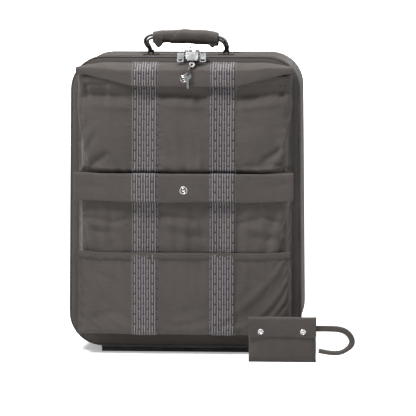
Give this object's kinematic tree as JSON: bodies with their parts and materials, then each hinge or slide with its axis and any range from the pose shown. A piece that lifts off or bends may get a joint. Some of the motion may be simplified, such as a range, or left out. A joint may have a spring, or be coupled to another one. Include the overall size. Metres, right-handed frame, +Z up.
{
  "type": "flight bag",
  "caption": "Soft-sided two-wheel cabin flight bag with a zipped lid, flapped front pockets, carry and trolley handles, padlock and a matching snap pouch.",
  "frame": {"origin": "on the floor under the middle of the case's footprint", "axes": "+Z up; the front with the pockets faces -Y; +X is the viewer's right"},
  "size_m": [0.4519, 0.2922, 0.504],
  "materials": {
    "cloth": "plain-woven charcoal taupe cloth",
    "webbing": "patterned webbing, light pinstripes on near-black",
    "piping": "cloth-covered piping",
    "lining": "dark lining cloth",
    "board": "stiff moulded board",
    "black_plastic": "moulded, fine texture",
    "rubber": "matt rubber",
    "tyre": "matt wheel tread",
    "steel": "polished plated metal",
    "tube": "brushed anodised tube",
    "zip": "moulded zip teeth",
    "thong": "dark leather thong"
  },
  "bodies": {
    "case": {"back_board": "board", "rear_cover": "cloth", "side_gusset_left": "cloth", "side_gusset_right": "cloth", "top_gusset": "cloth", "base_gusset": "cloth", "rear_piping": "piping", "lining": "lining", "zip_tape_case": "lining", "zip_teeth_case": "zip", "base_plate": "black_plastic", "front_foot": "rubber", "wheel_housings": "black_plastic", "wheel_axles": "steel", "tube_outer": "tube", "handle_cup": "black_plastic", "handle_anchors": "black_plastic"},
    "wheel_left": {"wheel_hub_left": "black_plastic", "wheel_tyre_left": "tyre"},
    "wheel_right": {"wheel_hub_right": "black_plastic", "wheel_tyre_right": "tyre"},
    "trolley_lower": {"tube_middle": "tube"},
    "trolley_upper": {"tube_inner": "tube", "trolley_grip": "black_plastic"},
    "trolley_button": {"release_button": "black_plastic"},
    "carry_handle": {"handle_webbing": "webbing", "handle_wrap": "cloth"},
    "lid": {"front_panel": "cloth", "lid_gusset": "cloth", "front_piping": "piping", "zip_tape_lid": "lining", "zip_teeth_lid": "zip", "top_hood": "cloth", "upper_pocket": "cloth", "lower_pocket": "cloth", "slip_pocket": "cloth", "webbing_upper": "webbing", "webbing_lower": "webbing", "snap_studs": "steel"},
    "top_flap": {"top_flap": "cloth", "webbing_top_flap": "webbing", "top_snap_cap": "steel"},
    "mid_flap": {"mid_flap": "cloth", "webbing_mid_flap": "webbing", "mid_snap_cap": "steel"},
    "slider_left": {"zip_slider_left": "steel"},
    "slider_right": {"zip_slider_right": "steel"},
    "pull_left": {"zip_pull_left": "steel"},
    "pull_right": {"zip_pull_right": "steel"},
    "padlock": {"padlock_body": "steel"},
    "shackle": {"padlock_shackle": "steel"},
    "key": {"lock_key": "steel"},
    "spare_key": {"key_thong": "thong", "spare_key": "steel"},
    "pouch": {"pouch_shell": "cloth", "pouch_snap_studs": "steel", "pouch_strap": "cloth"},
    "pouch_flap": {"pouch_flap": "cloth", "pouch_snap_caps": "steel"}
  },
  "joints": [
    {"name": "wheel_left_spin", "type": "hinge", "parent": "case", "child": "wheel_left", "pos_m": [-0.117, 0.074, 0.022], "axis": [1, 0, 0], "continuous": true},
    {"name": "wheel_right_spin", "type": "hinge", "parent": "case", "child": "wheel_right", "pos_m": [0.117, 0.074, 0.022], "axis": [1, 0, 0], "continuous": true},
    {"name": "trolley_lower_slide", "type": "slide", "parent": "case", "child": "trolley_lower", "axis": [0, 0, 1], "range_m": [0, 0.27]},
    {"name": "trolley_upper_slide", "type": "slide", "parent": "trolley_lower", "child": "trolley_upper", "axis": [0, 0, 1], "range_m": [0, 0.28]},
    {"name": "release_press", "type": "slide", "parent": "trolley_upper", "child": "trolley_button", "axis": [0, 0, -1], "range_m": [0, 0.0025], "stiffness_N_per_m": 300, "springref_m": -0.001},
    {"name": "carry_handle_tilt", "type": "hinge", "parent": "case", "child": "carry_handle", "pos_m": [0, -0.00845, 0.47], "axis": [1, 0, 0], "range_deg": [-40, 40], "stiffness_Nm_per_rad": 0.5},
    {"name": "lid_open", "type": "hinge", "parent": "case", "child": "lid", "pos_m": [0, -0.084, 0.0086], "axis": [1, 0, 0], "range_deg": [0, 35]},
    {"name": "top_flap_lift", "type": "hinge", "parent": "lid", "child": "top_flap", "pos_m": [0, -0.1055, 0.447], "axis": [-1, 0, 0], "range_deg": [0, 80]},
    {"name": "mid_flap_lift", "type": "hinge", "parent": "lid", "child": "mid_flap", "pos_m": [0, -0.1212, 0.282], "axis": [-1, 0, 0], "range_deg": [0, 120]},
    {"name": "slider_left_run", "type": "slide", "parent": "lid", "child": "slider_left", "axis": [1, 0, 0], "range_m": [-0.1, 0]},
    {"name": "slider_right_run", "type": "slide", "parent": "lid", "child": "slider_right", "axis": [1, 0, 0], "range_m": [0, 0.1]},
    {"name": "pull_left_flip", "type": "hinge", "parent": "slider_left", "child": "pull_left", "pos_m": [-0.005, -0.08, 0.4708], "axis": [-1, 0, 0], "range_deg": [0, 150]},
    {"name": "pull_right_flip", "type": "hinge", "parent": "slider_right", "child": "pull_right", "pos_m": [0.026, -0.08, 0.4708], "axis": [-1, 0, 0], "range_deg": [0, 150]},
    {"name": "padlock_rock", "type": "hinge", "parent": "slider_left", "child": "padlock", "pos_m": [0.0075, -0.0955, 0.475], "axis": [-1, 0, 0], "range_deg": [0, 15]},
    {"name": "shackle_open", "type": "slide", "parent": "padlock", "child": "shackle", "axis": [0, 0.4848, 0.8746], "range_m": [0, 0.005]},
    {"name": "key_turn", "type": "hinge", "parent": "padlock", "child": "key", "pos_m": [0.012, -0.10452, 0.45873], "axis": [0, 0.4848, 0.8746], "range_deg": [0, 50]},
    {"name": "spare_key_swing", "type": "hinge", "parent": "key", "child": "spare_key", "pos_m": [0.012, -0.11, 0.45297], "axis": [-1, 0, 0], "range_deg": [0, 80]},
    {"name": "pouch_lift", "type": "slide", "parent": "case", "child": "pouch", "axis": [0, 0, 1], "range_m": [0, 0.3]},
    {"name": "pouch_flap_lift", "type": "hinge", "parent": "pouch", "child": "pouch_flap", "pos_m": [0.157, -0.183, 0.0685], "axis": [-1, 0, 0], "range_deg": [0, 110]}
  ],
  "couplings": [
    {"joint": "spare_key_swing", "follows": "top_flap_lift", "ratio": 1}
  ]
}
